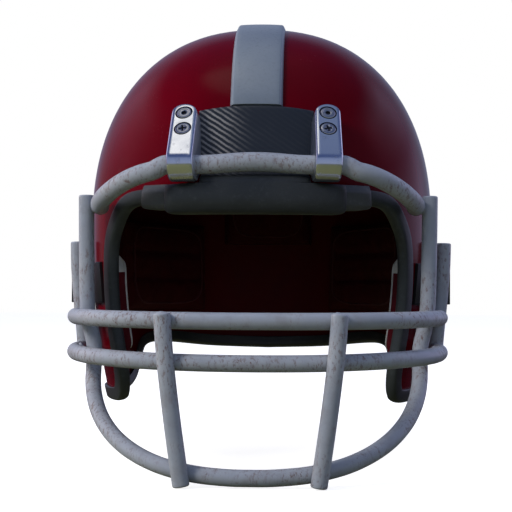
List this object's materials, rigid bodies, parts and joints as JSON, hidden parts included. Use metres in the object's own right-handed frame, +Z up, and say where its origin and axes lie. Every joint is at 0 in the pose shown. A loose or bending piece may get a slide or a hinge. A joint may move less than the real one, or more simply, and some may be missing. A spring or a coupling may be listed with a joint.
{
  "type": "football helmet",
  "caption": "Glossy dark red football helmet with grey centre stripe, black edge trim and brow bumper, and a swinging grey round-bar face guard.",
  "frame": {"origin": "centre of the bounding box, at the bottom of the guard's uprights", "axes": "+Z up; the face looks along -Y; +X is on the right of the picture"},
  "size_m": [0.2596, 0.3544, 0.302],
  "materials": {
    "red_shell": "glossy",
    "edge_rubber": "satin",
    "stripe_grey": "glossy",
    "bumper_rubber": "satin",
    "sleeve_rubber": "satin",
    "pad_cloth": "matte",
    "jaw_cloth": "matte",
    "bracket_plastic": "glossy",
    "fastener_steel": "satin",
    "clip_plastic": "satin",
    "stud_steel": "polished",
    "guard_paint": "satin, worn and speckled with rust"
  },
  "bodies": {
    "helmet": {"shell": "red_shell", "edge_trim": "edge_rubber", "centre_stripe": "stripe_grey", "front_bumper": "bumper_rubber", "brow_sleeve": "sleeve_rubber", "forehead_pad": "pad_cloth", "crown_pad": "pad_cloth", "back_pad": "pad_cloth", "left_temple_pad": "pad_cloth", "right_temple_pad": "pad_cloth", "left_side_pad": "pad_cloth", "right_side_pad": "pad_cloth", "left_jaw_pad": "jaw_cloth", "right_jaw_pad": "jaw_cloth", "left_bracket": "bracket_plastic", "right_bracket": "bracket_plastic", "bracket_screws": "fastener_steel", "bracket_rivets": "fastener_steel", "bracket_t_nuts": "fastener_steel", "left_side_clip": "clip_plastic", "right_side_clip": "clip_plastic", "side_clip_screws": "fastener_steel", "side_clip_t_nuts": "fastener_steel", "chin_strap_studs": "stud_steel"},
    "face_guard": {"brow_bar": "guard_paint", "jaw_bar": "guard_paint", "upper_bar": "guard_paint", "lower_bar": "guard_paint", "left_upright": "guard_paint", "right_upright": "guard_paint", "left_side_post": "guard_paint", "right_side_post": "guard_paint"}
  },
  "joints": [
    {"name": "face_guard_swing", "type": "hinge", "parent": "helmet", "child": "face_guard", "pos_m": [0, -0.12727, 0.19], "axis": [-1, 0, 0], "range_deg": [0, 110]}
  ]
}
